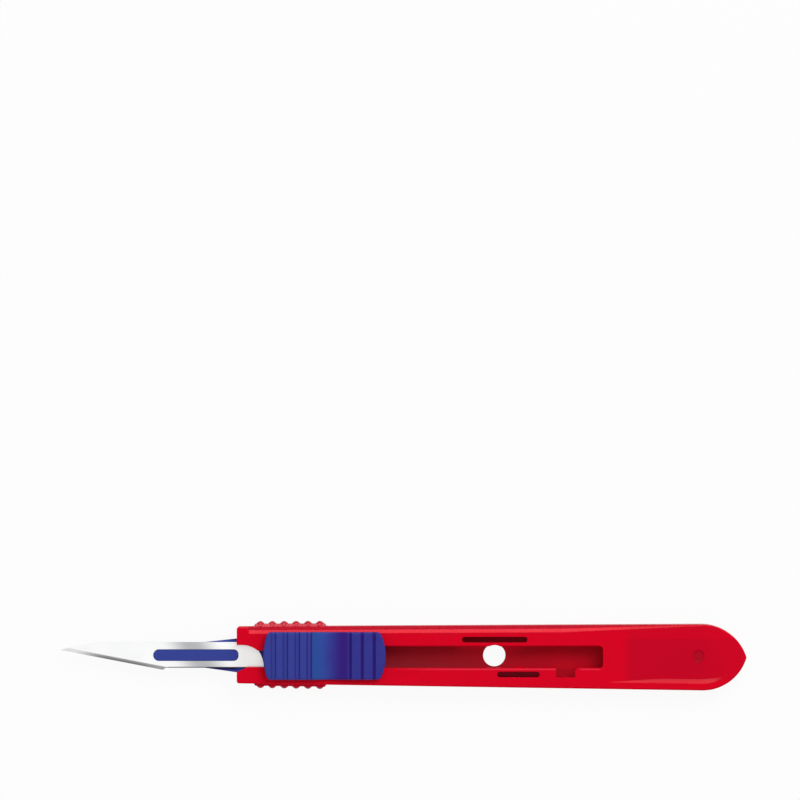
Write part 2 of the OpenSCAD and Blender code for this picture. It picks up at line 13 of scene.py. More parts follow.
import bmesh
import bpy
import numpy as np
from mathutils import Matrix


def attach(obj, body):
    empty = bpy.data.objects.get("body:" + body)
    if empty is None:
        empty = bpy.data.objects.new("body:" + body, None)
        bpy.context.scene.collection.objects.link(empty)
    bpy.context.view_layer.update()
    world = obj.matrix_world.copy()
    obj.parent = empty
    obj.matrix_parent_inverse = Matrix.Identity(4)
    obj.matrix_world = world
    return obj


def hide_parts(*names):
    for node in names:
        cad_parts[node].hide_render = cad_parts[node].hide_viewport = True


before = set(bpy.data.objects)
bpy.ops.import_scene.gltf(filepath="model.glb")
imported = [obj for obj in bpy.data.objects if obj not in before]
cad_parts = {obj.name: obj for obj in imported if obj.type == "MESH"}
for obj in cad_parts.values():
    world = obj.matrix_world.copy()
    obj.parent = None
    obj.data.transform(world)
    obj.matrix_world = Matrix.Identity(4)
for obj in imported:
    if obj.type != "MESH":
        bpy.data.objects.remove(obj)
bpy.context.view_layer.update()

LOG = logging.getLogger("scalpel")
MM = 1e-3


class Body(Enum):
    """The bodies that a piece can ride on."""

    HANDLE = "handle"
    SLIDER = "slider"


class Ray(Enum):
    """The kinds of ray that the floor and the world tell apart."""

    CAMERA = "Is Camera Ray"
    GLOSSY = "Is Glossy Ray"
    TRANSMISSION = "Is Transmission Ray"


@dataclass(frozen=True)
class Layout:
    """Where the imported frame's origin lies in the drawing."""

    mid_x: float = 33.28
    mid_y: float = 0.20768

    def metres(self, x: np.ndarray, y: np.ndarray, z: np.ndarray) -> np.ndarray:
        """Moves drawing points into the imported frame.

        Args:
            x: distances behind the nose.
            y: distances from the centre line.
            z: heights.

        Returns:
            One row of metres for each point.
        """
        columns = np.broadcast_arrays(np.subtract(x, self.mid_x), np.subtract(y, self.mid_y), z)
        return np.stack([np.ravel(c) for c in columns], axis=1) * MM


LAYOUT = Layout()


def srgb(red: int, green: int, blue: int) -> tuple[float, float, float, float]:
    """Turns screen values from 0 to 255 into a linear colour.

    Args:
        red: red value.
        green: green value.
        blue: blue value.

    Returns:
        The linear colour with an alpha of 1.
    """
    linear = [v / 12.92 if v <= 0.04045 else ((v + 0.055) / 1.055) ** 2.4 for v in (red / 255, green / 255, blue / 255)]
    return (linear[0], linear[1], linear[2], 1.0)


def grid_faces(rows: int, columns: int, start: int = 0, turned: bool = False) -> np.ndarray:
    """Lists the quads of a grid whose points run column by column.

    Args:
        rows: points along the first parameter.
        columns: points along the second parameter.
        start: index of the grid's first point.
        turned: whether the quads face the other way.

    Returns:
        One row of four point indices for each quad.
    """
    index = start + np.arange(rows * columns).reshape(rows, columns)
    quads = np.stack([index[:-1, :-1], index[1:, :-1], index[1:, 1:], index[:-1, 1:]], axis=-1).reshape(-1, 4)
    return quads[:, ::-1] if turned else quads


def band_faces(lower: np.ndarray, upper: np.ndarray) -> np.ndarray:
    """Joins two closed rings of as many points with quads.

    Args:
        lower: point indices of the lower ring, anticlockwise from above.
        upper: point indices of the upper ring, in the same order.

    Returns:
        One row of four point indices for each quad, facing out.
    """
    return np.stack([lower, np.roll(lower, -1), np.roll(upper, -1), upper], axis=1)


def mesh_piece(name: str, points: np.ndarray, faces: np.ndarray) -> bpy.types.Object:
    """Puts points and faces into a smooth mesh object at the origin.

    Args:
        name: name of the piece.
        points: one row of metres for each point.
        faces: one row of point indices for each face.

    Returns:
        The linked object.
    """
    mesh = bpy.data.meshes.new(name)
    mesh.from_pydata(points.tolist(), [], faces.tolist())
    mesh.update()
    mesh.shade_smooth()
    piece = bpy.data.objects.new(name, mesh)
    bpy.context.scene.collection.objects.link(piece)
    return piece


def merged_copy(node: str, name: str) -> bpy.types.Object:
    """Copies a CAD node's mesh, joins its loose triangles and melts its flat ones.

    Args:
        node: name of the CAD node.
        name: name of the new piece.

    Returns:
        The linked copy.
    """
    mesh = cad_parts[node].data.copy()
    mesh.name = name
    shape = bmesh.new()
    shape.from_mesh(mesh)
    bmesh.ops.remove_doubles(shape, verts=shape.verts, dist=2e-6)
    bmesh.ops.dissolve_limit(shape, angle_limit=math.radians(0.1), verts=shape.verts, edges=shape.edges)
    shape.to_mesh(mesh)
    shape.free()
    piece = bpy.data.objects.new(name, mesh)
    bpy.context.scene.collection.objects.link(piece)
    return piece


def soften(piece: bpy.types.Object, width: float, angle: float, segments: int = 2,
           left: Callable[[Any], bool] | None = None) -> None:
    """Rounds a piece's edges and keeps its flats flat.

    Args:
        piece: the mesh object.
        width: width of the rounding in millimetres.
        angle: least angle of an edge that is rounded, in degrees.
        segments: faces across the rounding.
        left: says of an edge's middle, in metres, whether the edge stays sharp.
    """
    piece.data.shade_smooth()
    shape = bmesh.new()
    shape.from_mesh(piece.data)
    weight = shape.edges.layers.float.new("bevel_weight_edge")
    for edge in shape.edges:
        turns = edge.calc_face_angle(0.0) > math.radians(angle)
        sharp = turns and left is not None and left((edge.verts[0].co + edge.verts[1].co) / 2)
        edge[weight] = float(turns and not sharp)
        edge.smooth = not sharp
    shape.to_mesh(piece.data)
    shape.free()
    bevel = piece.modifiers.new("edges", "BEVEL")
    bevel.width = width * MM
    bevel.segments = segments
    bevel.limit_method = "WEIGHT"
    bevel.miter_outer = "MITER_SHARP"
    bevel.harden_normals = False
    flats = piece.modifiers.new("flats", "WEIGHTED_NORMAL")
    flats.keep_sharp = True
    flats.weight = 80


class Wire:
    """A shader socket whose operators add Math nodes."""

    def __init__(self, tree: "Tree", socket: bpy.types.NodeSocket) -> None:
        """Keeps the tree and the socket."""
        self.tree = tree
        self.socket = socket

    def _math(self, operation: str, first: Any, second: Any) -> "Wire":
        """Adds one Math node and returns its result."""
        return self.tree.node("ShaderNodeMath", {"operation": operation}, {0: first, 1: second})

    def __add__(self, other: Any) -> "Wire":
        """Sum."""
        return self._math("ADD", self, other)

    def __radd__(self, other: Any) -> "Wire":
        """Sum with a number on the left."""
        return self._math("ADD", other, self)

    def __sub__(self, other: Any) -> "Wire":
        """Difference."""
        return self._math("SUBTRACT", self, other)

    def __rsub__(self, other: Any) -> "Wire":
        """Difference from a number."""
        return self._math("SUBTRACT", other, self)

    def __mul__(self, other: Any) -> "Wire":
        """Product."""
        return self._math("MULTIPLY", self, other)

    def __rmul__(self, other: Any) -> "Wire":
        """Product with a number on the left."""
        return self._math("MULTIPLY", other, self)

    def __truediv__(self, other: Any) -> "Wire":
        """Quotient."""
        return self._math("DIVIDE", self, other)

    def __rtruediv__(self, other: Any) -> "Wire":
        """Quotient of a number."""
        return self._math("DIVIDE", other, self)

    def size(self) -> "Wire":
        """Absolute value."""
        return self._math("ABSOLUTE", self, 0.0)

    def ramp(self, low: float, high: float, start: float = 0.0, end: float = 1.0) -> "Wire":
        """Turns the span from low to high smoothly into the span from start to end.

        Args:
            low: value that becomes start.
            high: value that becomes end.
            start: first result.
            end: last result.

        Returns:
            The eased value.
        """
        settings = {"interpolation_type": "SMOOTHSTEP"}
        return self.tree.node("ShaderNodeMapRange", settings, {"Value": self, 1: low, 2: high, 3: start, 4: end})


class Tree:
    """A material's or world's nodes."""

    def __init__(self, owner: Any) -> None:
        """Clears the owner's nodes.

        Args:
            owner: the material or world.
        """
        owner.use_nodes = True
        self.tree = owner.node_tree
        self.tree.nodes.clear()

    def node(self, kind: str, settings: dict[str, Any], inputs: dict[Any, Any], output: Any = 0) -> Wire:
        """Adds any node.

        Args:
            kind: the node's type.
            settings: its settings, which are set first.
            inputs: values or wires by socket name or number.
            output: name or number of the socket that is returned.

        Returns:
            The output as a wire.
        """
        made = self.tree.nodes.new(kind)
        for key, value in settings.items():
            setattr(made, key, value)
        for key, value in inputs.items():
            if isinstance(value, Wire):
                self.tree.links.new(value.socket, made.inputs[key])
            else:
                made.inputs[key].default_value = value
        return Wire(self, made.outputs[output])

    def show(self, kind: str, shader: Wire) -> None:
        """Ends the tree in an output node of that type."""
        self.tree.links.new(shader.socket, self.tree.nodes.new(kind).inputs["Surface"])

    def place(self) -> Wire:
        """Object coordinates in millimetres."""
        point = self.node("ShaderNodeTexCoord", {}, {}, "Object")
        return self.node("ShaderNodeVectorMath", {"operation": "SCALE"}, {0: point, "Scale": 1000.0})

    def axis(self, point: Wire, number: int) -> Wire:
        """One coordinate of a point."""
        return self.node("ShaderNodeSeparateXYZ", {}, {0: point}, number)

    def attribute(self, name: str) -> Wire:
        """A number that the mesh carries at its points."""
        return self.node("ShaderNodeAttribute", {"attribute_name": name}, {}, "Fac")

    def stretched(self, point: Wire, turn: float, scale: tuple[float, float, float]) -> Wire:
        """Turns a point about Z and scales its axes.

        Args:
            point: the vector.
            turn: angle in degrees.
            scale: factors along X, Y and Z.

        Returns:
            The changed vector.
        """
        turned = self.node("ShaderNodeMapping", {}, {"Vector": point, "Rotation": (0.0, 0.0, math.radians(turn))})
        return self.node("ShaderNodeMapping", {}, {"Vector": turned, "Scale": scale})

    def noise(self, point: Wire, scale: float, detail: float = 2.0) -> Wire:
        """Noise from 0 to 1 at a scale per millimetre."""
        return self.node("ShaderNodeTexNoise", {}, {"Vector": point, "Scale": scale, "Detail": detail})

    def tint(self, factor: Wire, first: Any, second: Any) -> Wire:
        """Mixes two colours.

        Args:
            factor: share of the second colour.
            first: colour or wire.
            second: colour or wire.

        Returns:
            The mixed colour.
        """
        return self.node("ShaderNodeMix", {"data_type": "RGBA"}, {0: factor, 6: first, 7: second}, 2)

    def bump(self, height: Wire, strength: float, depth: float) -> Wire:
        """Bump from a height, its depth in millimetres."""
        return self.node("ShaderNodeBump", {}, {"Height": height, "Strength": strength, "Distance": depth * MM})


@dataclass(frozen=True)
class MouldedPlastic:
    """Glossy moulded plastic with mottled colour, flow lines and fine grain."""

    name: str
    colour: tuple[float, float, float, float]
    shade: tuple[float, float, float, float]
    roughness: float = 0.3
    specular: float = 0.036
    grain: float = 5.0
    grain_depth: float = 0.012
    flow: tuple[float, float, float] = (0.06, 1.1, 1.1)

    def tones(self, tree: Tree, point: Wire, colour: Wire) -> Wire:
        """Shades parts of the moulding; the plain plastic has one tone."""
        return colour

    def make(self) -> bpy.types.Material:
        """Builds the material.

        Returns:
            The finished material.
        """
        material = bpy.data.materials.new(self.name)
        tree = Tree(material)
        point = tree.place()
        mottle = tree.noise(point, 0.35, 3.0)
        flow = tree.noise(tree.stretched(point, 0.0, self.flow), 1.0, 4.0)
        grain = tree.noise(point, self.grain, 2.0)
        share = mottle.ramp(0.35, 0.75) * 0.6 + flow.ramp(0.45, 0.8) * 0.4
        shader = tree.node("ShaderNodeBsdfPrincipled", {}, {
            "Base Color": self.tones(tree, point, tree.tint(share, self.colour, self.shade)),
            "Roughness": self.roughness + (flow - 0.5) * 0.12 + (mottle - 0.5) * 0.08,
            "Specular IOR Level": self.specular,
            "Normal": tree.bump(grain * 0.7 + flow * 0.3, 0.5, self.grain_depth),
        })
        tree.show("ShaderNodeOutputMaterial", shader)
        return material


@dataclass(frozen=True)
class HandlePlastic(MouldedPlastic):
    """The handle's red, with painted shade in the channel, on the upper side's sharply sloping strip and in the rear
    scoop, and painted highlights on the upper facets and the slot's lower lip.
    """

    # Painted shade for the channel's hidden sides seen through the slits, the second tone darker for the lower side.
    channel_shade_upper: tuple[float, float, float, float] = srgb(150, 10, 28)
    channel_shade_lower: tuple[float, float, float, float] = srgb(116, 8, 24)
    # Painted shade for the upper side's sharply sloping strip.
    steep_shade: tuple[float, float, float, float] = srgb(190, 0, 36)
    # Painted shade for the channel floor.
    track: tuple[float, float, float, float] = srgb(150, 40, 50)
    # Painted highlight for the upper facets.
    facet: tuple[float, float, float, float] = srgb(228, 8, 40)
    # Painted highlight for the slot's lower lip.
    lip: tuple[float, float, float, float] = srgb(226, 52, 78)
    # Painted shade for the rear scoop's floor.
    scoop: tuple[float, float, float, float] = srgb(194, 2, 34)
    disc: tuple[float, float, float, float] = srgb(172, 8, 34)
    slot_edge: float = 2.3
    wall: float = 4.3
    lid: float = 4.9
    floor: float = 1.3
    channel_end: float = 74.4
    notch_start: float = 64.6
    scoop_start: float = 76.8
    scoop_upper: float = 3.9
    scoop_lower: float = -4.4
    disc_x: float = 92.3
    disc_y: float = 0.0
    disc_size: float = 1.2

    def tones(self, tree: Tree, point: Wire, colour: Wire) -> Wire:
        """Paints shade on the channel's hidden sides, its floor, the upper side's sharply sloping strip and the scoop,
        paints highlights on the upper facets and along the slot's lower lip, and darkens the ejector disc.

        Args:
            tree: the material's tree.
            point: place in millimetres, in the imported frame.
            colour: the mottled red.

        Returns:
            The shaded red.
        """
        x = tree.axis(point, 0) + LAYOUT.mid_x
        y = tree.axis(point, 1) + LAYOUT.mid_y
        z = tree.axis(point, 2)
        inside = x.ramp(0.6, 1.6) * x.ramp(self.channel_end + 0.4, self.channel_end) * z.ramp(0.5, 0.9)
        under = z.ramp(self.lid + 0.5, self.lid - 0.2) * y.size().ramp(self.wall + 0.3, self.wall)
        # Painted shade on the channel's sides next to the slot, under the lid, weaker past the notch.
        channel_shade = inside * under * y.size().ramp(self.slot_edge - 0.2, self.slot_edge + 0.5)
        channel_shade = channel_shade * x.ramp(self.notch_start, self.notch_start - 2.0, 0.3, 1.0)
        # Painted shade on the channel floor, strongest near the pad and towards the slot's lower side.
        floor_shade = inside * z.ramp(self.floor + 0.6, self.floor + 0.1) * x.ramp(28.0, 70.0, 0.62, 0.12)
        floor_shade = floor_shade * y.ramp(2.0, -2.0, 0.45, 1.3)
        scooped = z.ramp(2.6, 3.2) * x.ramp(self.scoop_start, self.scoop_start + 2.4)
        scooped = scooped * x.ramp(99.5, 92.0, 0.55, 1.0) * y.ramp(self.scoop_upper, self.scoop_upper - 0.5, 0.45, 1.0)
        apart = tree.node("ShaderNodeVectorMath", {"operation": "DISTANCE"}, {
            0: tree.node("ShaderNodeCombineXYZ", {}, {0: x, 1: y}), 1: (self.disc_x, self.disc_y, 0.0)}, 1)
        marked = apart.ramp(self.disc_size + 0.08, self.disc_size - 0.08) * scooped
        shaded = tree.tint(floor_shade * under, colour, self.track)
        shaded = tree.tint(channel_shade, shaded, tree.tint(y.ramp(-1.0, -2.0), self.channel_shade_upper, self.channel_shade_lower))
        # Painted shade on the upper side's sharply sloping strip under the facets.
        band = y.ramp(5.05, 5.3) * z.ramp(4.1, 4.35) * z.ramp(5.62, 5.42)
        shaded = tree.tint(band, shaded, self.steep_shade)
        # Painted highlight on the upper facets, a lighter red.
        facet_highlight = z.ramp(5.5, 5.6) * z.ramp(6.0, 5.93) * y.ramp(3.5, 4.0)
        shaded = tree.tint(facet_highlight, shaded, self.facet)
        # Painted highlight: a thin pink line on the top next to the slot's lower lip, broken at the notch.
        lip_highlight = y.ramp(-2.28, -2.36) * y.ramp(-2.64, -2.56) * x.ramp(30.0, 44.0) * x.ramp(73.0, 72.2)
        lip_highlight = lip_highlight * z.ramp(5.8, 5.9) * (1 - x.ramp(64.2, 64.5) * x.ramp(68.8, 68.5))
        shaded = tree.tint(lip_highlight * 0.55, shaded, self.lip)
        # Painted shade on the rear scoop's floor, lighter towards its rear end and its upper edge.
        shaded = tree.tint(scooped * y.ramp(self.scoop_lower - 0.4, self.scoop_lower), shaded, self.scoop)
        return tree.tint(marked, shaded, self.disc)


@dataclass(frozen=True)
class SliderPlastic(MouldedPlastic):
    """The slider's blue, with painted shade in violet in the pad's grooves and on the dish's rear slope, painted light
    in green down the dish's front slope, and a painted shadow by the blade's lower edge.
    """

    # Painted shade for the pad's grooves.
    hollow: tuple[float, float, float, float] = srgb(43, 22, 112)
    # Painted light for the dish's front slope.
    front_slope_light: tuple[float, float, float, float] = srgb(38, 74, 148)
    # Painted shade for the dish's rear slope; it also tints the pad's rear a little violet.
    rising: tuple[float, float, float, float] = srgb(52, 26, 120)
    front: tuple[float, float, float, float] = srgb(56, 80, 158)
    shadow: tuple[float, float, float, float] = srgb(14, 16, 34)

    def tones(self, tree: Tree, point: Wire, colour: Wire) -> Wire:
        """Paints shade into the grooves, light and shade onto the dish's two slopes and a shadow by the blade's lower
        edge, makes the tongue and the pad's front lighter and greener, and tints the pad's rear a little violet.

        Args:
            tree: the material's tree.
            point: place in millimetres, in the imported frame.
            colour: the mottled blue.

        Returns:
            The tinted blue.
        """
        lean = tree.attribute("lean")
        x = tree.axis(point, 0) + LAYOUT.mid_x
        y = tree.axis(point, 1) + LAYOUT.mid_y
        shaded = tree.tint(x.ramp(3.0, -3.0, 0.0, 0.8), colour, self.front)
        shaded = tree.tint(x.ramp(18.0, 16.0, 0.0, 0.45) * x.ramp(3.0, 5.0), shaded, self.front)
        shaded = tree.tint(x.ramp(20.0, 24.0, 0.0, 0.25), shaded, self.rising)
        # Painted shadow of the blade on the tongue, just past the blade's lower edge, in front of the nose.
        blade_shadow = y.ramp(-2.85, -2.35) * y.ramp(-1.9, -2.1) * x.ramp(0.4, -0.4)
        shaded = tree.tint(blade_shadow * 0.95, shaded, self.shadow)
        # Painted light and shade from the lean: greener down the front slope, violet up the rear slope.
        shaded = tree.tint(lean.ramp(-0.15, -0.75, 0.0, 0.85), shaded, self.front_slope_light)
        shaded = tree.tint(lean.ramp(-0.45, 0.75, 0.0, 0.95), shaded, self.rising)
        # Painted shade in the grooves, from the pad's hollow attribute.
        return tree.tint(tree.attribute("hollow") * 0.95, shaded, self.hollow)


@dataclass(frozen=True)
class GroundSteel:
    """Satin strip steel with a ground bevel along the cutting edge, where a dark reflection is painted; a painted grey
    reflection band crosses the flats and a painted shade line runs along the lower edge.
    """

    name: str = "ground steel"
    colour: tuple[float, float, float, float] = (0.985, 0.985, 0.985, 1.0)
    shade: tuple[float, float, float, float] = (0.9, 0.905, 0.91, 1.0)
    # Painted dark reflection for the ground bevel, and the pale tone it fades to.
    ground: tuple[float, float, float, float] = (0.4, 0.405, 0.41, 1.0)
    pale: tuple[float, float, float, float] = (0.97, 0.97, 0.97, 1.0)
    # Painted dark reflection for the flats.
    band: tuple[float, float, float, float] = (0.42, 0.43, 0.44, 1.0)
    shank: tuple[float, float, float, float] = (0.8, 0.785, 0.77, 1.0)
    edge_shadow: tuple[float, float, float, float] = (0.1, 0.1, 0.11, 1.0)
    tip: tuple[float, float] = (-35.34, 1.34)
    heel: tuple[float, float] = (-14.8, -2.62)
    grind: float = 0.7

    def make(self) -> bpy.types.Material:
        """Builds the material.

        Returns:
            The finished material.
        """
        material = bpy.data.materials.new(self.name)
        tree = Tree(material)
        point = tree.place()
        run = math.hypot(self.heel[0] - self.tip[0], self.heel[1] - self.tip[1])
        across = ((self.tip[1] - self.heel[1]) / run, (self.heel[0] - self.tip[0]) / run, 0.0)
        tip = (self.tip[0] - LAYOUT.mid_x, self.tip[1] - LAYOUT.mid_y)
        start = tip[0] * across[0] + tip[1] * across[1]
        depth = tree.node("ShaderNodeVectorMath", {"operation": "DOT_PRODUCT"}, {0: point, 1: across}, 1) - start
        x = tree.axis(point, 0) + LAYOUT.mid_x
        y = tree.axis(point, 1) + LAYOUT.mid_y
        bevel = depth.ramp(self.grind + 0.03, self.grind - 0.03) * x.ramp(self.heel[0] + 0.3, self.heel[0])
        # The bevel's painted dark reflection fades out towards the tip and near the heel.
        pale_tip = x.ramp(self.tip[0] + 9.5, self.tip[0] + 2.5)
        pale_ends = pale_tip + x.ramp(self.heel[0] - 5.0, self.heel[0] - 0.8) * 0.6
        # Painted reflection: a soft grey band slanting across the flats near the slot.
        middle = x + y * 0.55
        reflection_band = middle.ramp(-14.0, -8.2) * middle.ramp(-1.5, -7.2)
        slope = -math.degrees(math.atan2(self.heel[1] - self.tip[1], self.heel[0] - self.tip[0]))
        rolled = tree.noise(tree.stretched(point, 0.0, (0.12, 9.0, 1.0)), 1.0, 4.0)
        scored = tree.noise(tree.stretched(point, slope, (16.0, 0.5, 1.0)), 1.0, 4.0)
        cloud = tree.noise(point, 0.16, 2.0)
        flat = tree.tint(cloud.ramp(0.35, 0.7) * 0.6 + rolled * 0.25, self.colour, self.shade)
        flat = tree.tint(reflection_band * (0.85 + rolled * 0.15), flat, self.band)
        flat = tree.tint(x.ramp(-3.0, 2.0, 0.0, 0.9), flat, self.shank)
        # Painted shade: a dark line on the blade along its lower edge, behind the heel.
        flat = tree.tint(y.ramp(-1.94, -2.06) * x.ramp(-14.2, -13.4) * 0.85, flat, self.edge_shadow)
        # Painted reflection on the bevel: dark, paling across it.
        dark = tree.tint(depth.ramp(0.22, self.grind, 0.0, 0.9), self.ground, self.pale)
        dark = tree.tint(pale_ends, dark, self.pale)
        lines = rolled * (1 - bevel) + scored * bevel
        shader = tree.node("ShaderNodeBsdfPrincipled", {}, {
            "Base Color": tree.tint(bevel * (0.8 + scored * 0.2), flat, dark),
            # Metallic eases off on the bevel near the tip, so the painted reflection reads pale there.
            "Metallic": 1.0 - bevel * pale_tip * 0.75,
            "Roughness": 0.24 + lines * 0.12 + bevel * 0.06,
            "Normal": tree.bump(lines, 0.35, 0.004),
        })
        tree.show("ShaderNodeOutputMaterial", shader)
        return material


@dataclass
class Handle:
    """The red moulding: its body from the frame, and its smooth grip nubs."""

    edge: float = 0.16
    nubs: int = 6
    first: float = 4.66
    pitch: float = 2.38
    height: float = 1.03
    foot: float = 1.9
    dome: float = 0.75
    dome_sink: float = 0.2
    dome_tall: float = 1.75
    flat_lean: float = 32.7
    flat_reach: float = 1.46
    blend: float = 0.05
    pole: float = 0.06
    sink: float = 0.15
    bar_height: float = 0.5
    bar_half: float = 1.3
    bar_reach: float = 1.3
    bar_draft: float = 0.65
    middle: float = 2.375
    upper: tuple[float, float] = (5.98, 0.48 / 93.12)
    lower: tuple[float, float] = (-5.26, -1.42 / 93.12)
    proud: float = 0.012
    finish: MouldedPlastic = field(default_factory=lambda: HandlePlastic(
        "red moulded plastic", srgb(213, 0, 32), srgb(205, 1, 31), roughness=0.26))
    # The grips take a darker, more magenta copy of the handle's red as painted shade on the nubs, with more specular.
    grip: MouldedPlastic = field(default_factory=lambda: MouldedPlastic(
        "red grip plastic", srgb(204, 3, 42), srgb(188, 4, 42), roughness=0.2, specular=0.062))

    def body(self) -> bpy.types.Object:
        """The body with softened edges."""
        piece = merged_copy("handle", "handle_body")
        soften(piece, self.edge, 24.0, 3, self.stays_sharp)
        return piece

    def stays_sharp(self, spot: Any) -> bool:
        """Says whether a point in metres lies under the nubs or inside the track."""
        x, y, z = spot.x / MM + LAYOUT.mid_x, spot.y / MM + LAYOUT.mid_y, spot.z / MM
        last = self.first + self.pitch * (self.nubs - 1)
        along = self.first - self.foot - 0.4 < x < last + self.foot + 0.4
        nubs = along and abs(y) > 4.9 and abs(z - self.middle) < self.foot + 0.2
        return nubs or (0.2 < x < 74.5 and abs(y) < 4.4 and 0.1 < z < 5.9)

    def nub_points(self, side: tuple[float, float], out: float) -> tuple[np.ndarray, np.ndarray]:
        """Works out one row of nubs.

        A nub's height at radius r from its axis, which stands on the handle's side, is a wave,
        rise * (1 + cos(pi * r / foot)) / 2 - sink, blended with half an egg that stands on a collar
        dome_sink high, of half axes dome along the handle and outwards, and dome_tall upwards. A
        flat above and one below, which lean out by flat_lean and lie flat_reach from the axis's
        foot, cut the egg.

        Args:
            side: where the side passes the nose, and its slope.
            out: 1 for the upper side and -1 for the lower.

        Returns:
            Points in metres and faces.
        """
        rings, turns = 44, 96
        radius = np.concatenate([np.linspace(self.pole, self.foot, rings), [self.foot, self.pole]])
        wave = (self.height + self.sink) * (1 + np.cos(np.pi * radius / self.foot)) / 2 - self.sink
        angle = np.linspace(0, 2 * np.pi, turns, endpoint=False)
        along = radius[None, :, None] * np.cos(angle)[None, None, :]
        up = radius[None, :, None] * np.sin(angle)[None, None, :]
        apart = (along / self.dome) ** 2 + (up / self.dome_tall) ** 2
        cap = self.dome_sink + self.dome * np.sqrt(np.clip(1 - apart, 0, None))
        lean = math.radians(self.flat_lean)
        flat = (self.flat_reach - math.cos(lean) * np.abs(up)) / math.sin(lean)
        cap = np.where(apart < 1, np.minimum(cap, flat), -1.0)
        height = self.blend * np.logaddexp(wave[None, :, None] / self.blend, cap / self.blend) + self.proud
        height[:, -2:] = -2.5 * self.sink
        centre = self.first + self.pitch * np.arange(self.nubs)[:, None, None]
        x = centre + along
        y = side[0] + side[1] * centre + out * height + 0 * x
        z = self.middle + up + 0 * x
        index = np.arange(x.size).reshape(x.shape)
        step = np.roll(index, -1, axis=2)
        quads = np.stack([index[:, :-1], index[:, 1:], step[:, 1:], step[:, :-1]], axis=-1).reshape(-1, 4)
        return LAYOUT.metres(x, y, z), quads if out < 0 else quads[:, ::-1]

    def bar_points(self, side: tuple[float, float], out: float) -> tuple[np.ndarray, np.ndarray]:
        """Works out the bar under a row of nubs, a trapezium that narrows outwards.

        Args:
            side: where the side passes the nose, and its slope.
            out: 1 for the upper side and -1 for the lower.

        Returns:
            Points in metres and faces.
        """
        high = np.array([-0.1, self.bar_height + self.proud, self.bar_height + self.proud, -0.1])
        wide = self.bar_half + self.proud + self.bar_draft * (self.bar_height - high)
        z = self.middle + wide * np.array([1, 1, -1, -1])
        front = self.first - self.bar_reach + high / 2 - self.proud
        rear = self.first + self.pitch * (self.nubs - 1) + self.bar_reach - high / 2 + self.proud
        x = np.stack([front, rear])
        y = side[0] + side[1] * x + out * high
        sides = np.arange(4)
        quads = np.stack([sides, (sides + 1) % 4, (sides + 1) % 4 + 4, sides + 4], axis=1)
        return LAYOUT.metres(x, y, z + 0 * x), np.concatenate([quads, [[3, 2, 1, 0], [4, 5, 6, 7]]])

    def grips(self) -> bpy.types.Object:
        """Both rows of nubs on their bars as one piece.

        Returns:
            The linked piece, with its poles closed.
        """
        rows = [make(side, out) for make in (self.nub_points, self.bar_points)
                for side, out in ((self.upper, 1.0), (self.lower, -1.0))]
        starts = np.cumsum([0] + [len(row[0]) for row in rows])
        points = np.concatenate([row[0] for row in rows])
        faces = np.concatenate([row[1] + start for row, start in zip(rows, starts)])
        piece = mesh_piece("handle_grips", points, faces)
        shape = bmesh.new()
        shape.from_mesh(piece.data)
        bmesh.ops.holes_fill(shape, edges=shape.edges, sides=0)
        bmesh.ops.recalc_face_normals(shape, faces=shape.faces)
        shape.to_mesh(piece.data)
        shape.free()
        piece.data.shade_smooth()
        piece.data.set_sharp_from_angle(angle=math.radians(28))
        return piece

    def build(self) -> list[bpy.types.Object]:
        """Makes and dresses both pieces.

        Returns:
            The pieces.
        """
        pieces = [self.body(), self.grips()]
        for piece, finish in zip(pieces, (self.finish, self.grip)):
            piece.data.materials.clear()
            piece.data.materials.append(finish.make())
            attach(piece, Body.HANDLE.value)
            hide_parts("handle")
        return pieces


